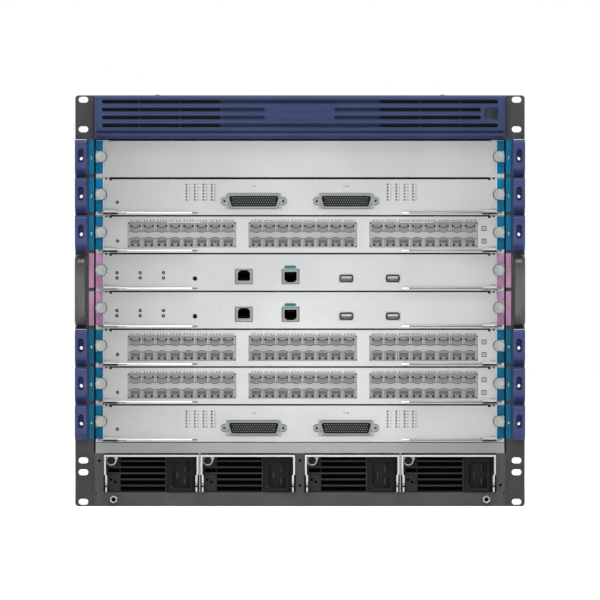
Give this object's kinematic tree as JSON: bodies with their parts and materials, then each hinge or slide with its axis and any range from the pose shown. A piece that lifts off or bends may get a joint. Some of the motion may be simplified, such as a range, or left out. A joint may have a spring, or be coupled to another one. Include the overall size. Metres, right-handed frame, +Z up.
{
  "type": "modular chassis switch",
  "caption": "Rack-mounted modular network switch chassis with slide-in cards, ejector levers, plug-in power supplies, rear fan trays, cable managers and carry handles.",
  "frame": {"origin": "on the underside, at the middle of the width and of the chassis depth", "axes": "+Z up; the front, with the cards, faces -Y; +X is to the right of someone facing the front"},
  "size_m": [0.4826, 0.5255, 0.4425],
  "materials": {
    "body_steel": "dark grey powder coat",
    "ear_steel": "dark grey powder coat",
    "bezel_blue": "moulded, fine texture",
    "filter_foam": "open foam",
    "shelf_grey": "light grey paint",
    "frame_grey": "dark grey paint",
    "guide_steel": "zinc plated",
    "backplane_green": "solder mask",
    "handle_grey": "satin",
    "manager_blue": "moulded",
    "label_teal": "printed film",
    "jack_brass": "nickel plated",
    "tray_steel": "dark grey paint",
    "fan_black": "moulded",
    "panel_silver": "fine satin",
    "board_green": "solder mask and port shields",
    "lever_steel": "bright",
    "button_black": "moulded",
    "supply_black": "black",
    "bail_steel": "satin"
  },
  "bodies": {
    "chassis": {"bottom_pan": "body_steel", "top_cover": "body_steel", "side_plate_left": "body_steel", "side_plate_right": "body_steel", "rear_panel": "body_steel", "rack_ear_left": "ear_steel", "rack_ear_right": "ear_steel", "inlet_bezel": "bezel_blue", "inlet_filter": "filter_foam", "module_shelf": "shelf_grey", "power_bay_frame": "frame_grey", "card_guides": "guide_steel", "backplane": "backplane_green", "carry_handles": "handle_grey", "cable_managers": "manager_blue", "slot_labels": "label_teal", "chassis_fasteners": "jack_brass"},
    "card_1": {"filler_panel": "panel_silver"},
    "card_2": {"card_panel_2": "panel_silver", "card_board_2": "board_green"},
    "card_3": {"card_panel_3": "panel_silver", "card_board_3": "board_green"},
    "card_4": {"card_panel_4": "panel_silver", "card_board_4": "board_green"},
    "card_5": {"card_panel_5": "panel_silver", "card_board_5": "board_green"},
    "card_6": {"card_panel_6": "panel_silver", "card_board_6": "board_green"},
    "card_7": {"card_panel_7": "panel_silver", "card_board_7": "board_green"},
    "card_8": {"card_panel_8": "panel_silver", "card_board_8": "board_green"},
    "lever_left_2": {"lever_left_2": "lever_steel"},
    "lever_right_2": {"lever_right_2": "lever_steel"},
    "lever_left_3": {"lever_left_3": "lever_steel"},
    "lever_right_3": {"lever_right_3": "lever_steel"},
    "lever_left_4": {"lever_left_4": "lever_steel"},
    "lever_right_4": {"lever_right_4": "lever_steel"},
    "lever_left_5": {"lever_left_5": "lever_steel"},
    "lever_right_5": {"lever_right_5": "lever_steel"},
    "lever_left_6": {"lever_left_6": "lever_steel"},
    "lever_right_6": {"lever_right_6": "lever_steel"},
    "lever_left_7": {"lever_left_7": "lever_steel"},
    "lever_right_7": {"lever_right_7": "lever_steel"},
    "lever_left_8": {"lever_left_8": "lever_steel"},
    "lever_right_8": {"lever_right_8": "lever_steel"},
    "reset_button_4": {"reset_button_4": "button_black"},
    "reset_button_5": {"reset_button_5": "button_black"},
    "power_supply_1": {"power_supply_1": "supply_black"},
    "supply_bail_1": {"supply_bail_1": "bail_steel"},
    "power_supply_2": {"power_supply_2": "supply_black"},
    "supply_bail_2": {"supply_bail_2": "bail_steel"},
    "power_supply_3": {"power_supply_3": "supply_black"},
    "supply_bail_3": {"supply_bail_3": "bail_steel"},
    "power_supply_4": {"power_supply_4": "supply_black"},
    "supply_bail_4": {"supply_bail_4": "bail_steel"},
    "fan_tray_left": {"fan_tray_left": "tray_steel"},
    "fan_rotor_left": {"fan_rotor_left": "fan_black"},
    "fan_tray_right": {"fan_tray_right": "tray_steel"},
    "fan_rotor_right": {"fan_rotor_right": "fan_black"}
  },
  "joints": [
    {"name": "card_slide_1", "type": "slide", "parent": "chassis", "child": "card_1", "axis": [0, -1, 0], "range_m": [0, 0.05]},
    {"name": "card_slide_2", "type": "slide", "parent": "chassis", "child": "card_2", "axis": [0, -1, 0], "range_m": [0, 0.36]},
    {"name": "card_slide_3", "type": "slide", "parent": "chassis", "child": "card_3", "axis": [0, -1, 0], "range_m": [0, 0.36]},
    {"name": "card_slide_4", "type": "slide", "parent": "chassis", "child": "card_4", "axis": [0, -1, 0], "range_m": [0, 0.36]},
    {"name": "card_slide_5", "type": "slide", "parent": "chassis", "child": "card_5", "axis": [0, -1, 0], "range_m": [0, 0.36]},
    {"name": "card_slide_6", "type": "slide", "parent": "chassis", "child": "card_6", "axis": [0, -1, 0], "range_m": [0, 0.36]},
    {"name": "card_slide_7", "type": "slide", "parent": "chassis", "child": "card_7", "axis": [0, -1, 0], "range_m": [0, 0.36]},
    {"name": "card_slide_8", "type": "slide", "parent": "chassis", "child": "card_8", "axis": [0, -1, 0], "range_m": [0, 0.36]},
    {"name": "lever_turn_left_2", "type": "hinge", "parent": "card_2", "child": "lever_left_2", "pos_m": [-0.207, -0.236, 0.3153], "axis": [0, 0, -1], "range_deg": [0, 75]},
    {"name": "lever_turn_right_2", "type": "hinge", "parent": "card_2", "child": "lever_right_2", "pos_m": [0.207, -0.236, 0.3153], "axis": [0, 0, 1], "range_deg": [0, 75]},
    {"name": "lever_turn_left_3", "type": "hinge", "parent": "card_3", "child": "lever_left_3", "pos_m": [-0.207, -0.236, 0.2747], "axis": [0, 0, -1], "range_deg": [0, 75]},
    {"name": "lever_turn_right_3", "type": "hinge", "parent": "card_3", "child": "lever_right_3", "pos_m": [0.207, -0.236, 0.2747], "axis": [0, 0, 1], "range_deg": [0, 75]},
    {"name": "lever_turn_left_4", "type": "hinge", "parent": "card_4", "child": "lever_left_4", "pos_m": [-0.207, -0.236, 0.2341], "axis": [0, 0, -1], "range_deg": [0, 75]},
    {"name": "lever_turn_right_4", "type": "hinge", "parent": "card_4", "child": "lever_right_4", "pos_m": [0.207, -0.236, 0.2341], "axis": [0, 0, 1], "range_deg": [0, 75]},
    {"name": "lever_turn_left_5", "type": "hinge", "parent": "card_5", "child": "lever_left_5", "pos_m": [-0.207, -0.236, 0.1935], "axis": [0, 0, -1], "range_deg": [0, 75]},
    {"name": "lever_turn_right_5", "type": "hinge", "parent": "card_5", "child": "lever_right_5", "pos_m": [0.207, -0.236, 0.1935], "axis": [0, 0, 1], "range_deg": [0, 75]},
    {"name": "lever_turn_left_6", "type": "hinge", "parent": "card_6", "child": "lever_left_6", "pos_m": [-0.207, -0.236, 0.1529], "axis": [0, 0, -1], "range_deg": [0, 75]},
    {"name": "lever_turn_right_6", "type": "hinge", "parent": "card_6", "child": "lever_right_6", "pos_m": [0.207, -0.236, 0.1529], "axis": [0, 0, 1], "range_deg": [0, 75]},
    {"name": "lever_turn_left_7", "type": "hinge", "parent": "card_7", "child": "lever_left_7", "pos_m": [-0.207, -0.236, 0.1123], "axis": [0, 0, -1], "range_deg": [0, 75]},
    {"name": "lever_turn_right_7", "type": "hinge", "parent": "card_7", "child": "lever_right_7", "pos_m": [0.207, -0.236, 0.1123], "axis": [0, 0, 1], "range_deg": [0, 75]},
    {"name": "lever_turn_left_8", "type": "hinge", "parent": "card_8", "child": "lever_left_8", "pos_m": [-0.207, -0.236, 0.0717], "axis": [0, 0, -1], "range_deg": [0, 75]},
    {"name": "lever_turn_right_8", "type": "hinge", "parent": "card_8", "child": "lever_right_8", "pos_m": [0.207, -0.236, 0.0717], "axis": [0, 0, 1], "range_deg": [0, 75]},
    {"name": "reset_press_4", "type": "slide", "parent": "card_4", "child": "reset_button_4", "axis": [0, 1, 0], "range_m": [0, 0.0015], "stiffness_N_per_m": 300},
    {"name": "reset_press_5", "type": "slide", "parent": "card_5", "child": "reset_button_5", "axis": [0, 1, 0], "range_m": [0, 0.0015], "stiffness_N_per_m": 300},
    {"name": "supply_slide_1", "type": "slide", "parent": "chassis", "child": "power_supply_1", "axis": [0, -1, 0], "range_m": [0, 0.31]},
    {"name": "bail_turn_1", "type": "hinge", "parent": "power_supply_1", "child": "supply_bail_1", "pos_m": [-0.1595, -0.2348, 0.0256], "axis": [1, 0, 0], "range_deg": [0, 90]},
    {"name": "supply_slide_2", "type": "slide", "parent": "chassis", "child": "power_supply_2", "axis": [0, -1, 0], "range_m": [0, 0.31]},
    {"name": "bail_turn_2", "type": "hinge", "parent": "power_supply_2", "child": "supply_bail_2", "pos_m": [-0.056, -0.2348, 0.0256], "axis": [1, 0, 0], "range_deg": [0, 90]},
    {"name": "supply_slide_3", "type": "slide", "parent": "chassis", "child": "power_supply_3", "axis": [0, -1, 0], "range_m": [0, 0.31]},
    {"name": "bail_turn_3", "type": "hinge", "parent": "power_supply_3", "child": "supply_bail_3", "pos_m": [0.056, -0.2348, 0.0256], "axis": [1, 0, 0], "range_deg": [0, 90]},
    {"name": "supply_slide_4", "type": "slide", "parent": "chassis", "child": "power_supply_4", "axis": [0, -1, 0], "range_m": [0, 0.31]},
    {"name": "bail_turn_4", "type": "hinge", "parent": "power_supply_4", "child": "supply_bail_4", "pos_m": [0.1595, -0.2348, 0.0256], "axis": [1, 0, 0], "range_deg": [0, 90]},
    {"name": "tray_slide_left", "type": "slide", "parent": "chassis", "child": "fan_tray_left", "axis": [0, 1, 0], "range_m": [0, 0.08]},
    {"name": "rotor_spin_left", "type": "hinge", "parent": "fan_tray_left", "child": "fan_rotor_left", "pos_m": [-0.1043, 0.19435, 0.26], "axis": [0, 1, 0], "continuous": true},
    {"name": "tray_slide_right", "type": "slide", "parent": "chassis", "child": "fan_tray_right", "axis": [0, 1, 0], "range_m": [0, 0.08]},
    {"name": "rotor_spin_right", "type": "hinge", "parent": "fan_tray_right", "child": "fan_rotor_right", "pos_m": [0.1043, 0.19435, 0.26], "axis": [0, 1, 0], "continuous": true}
  ]
}
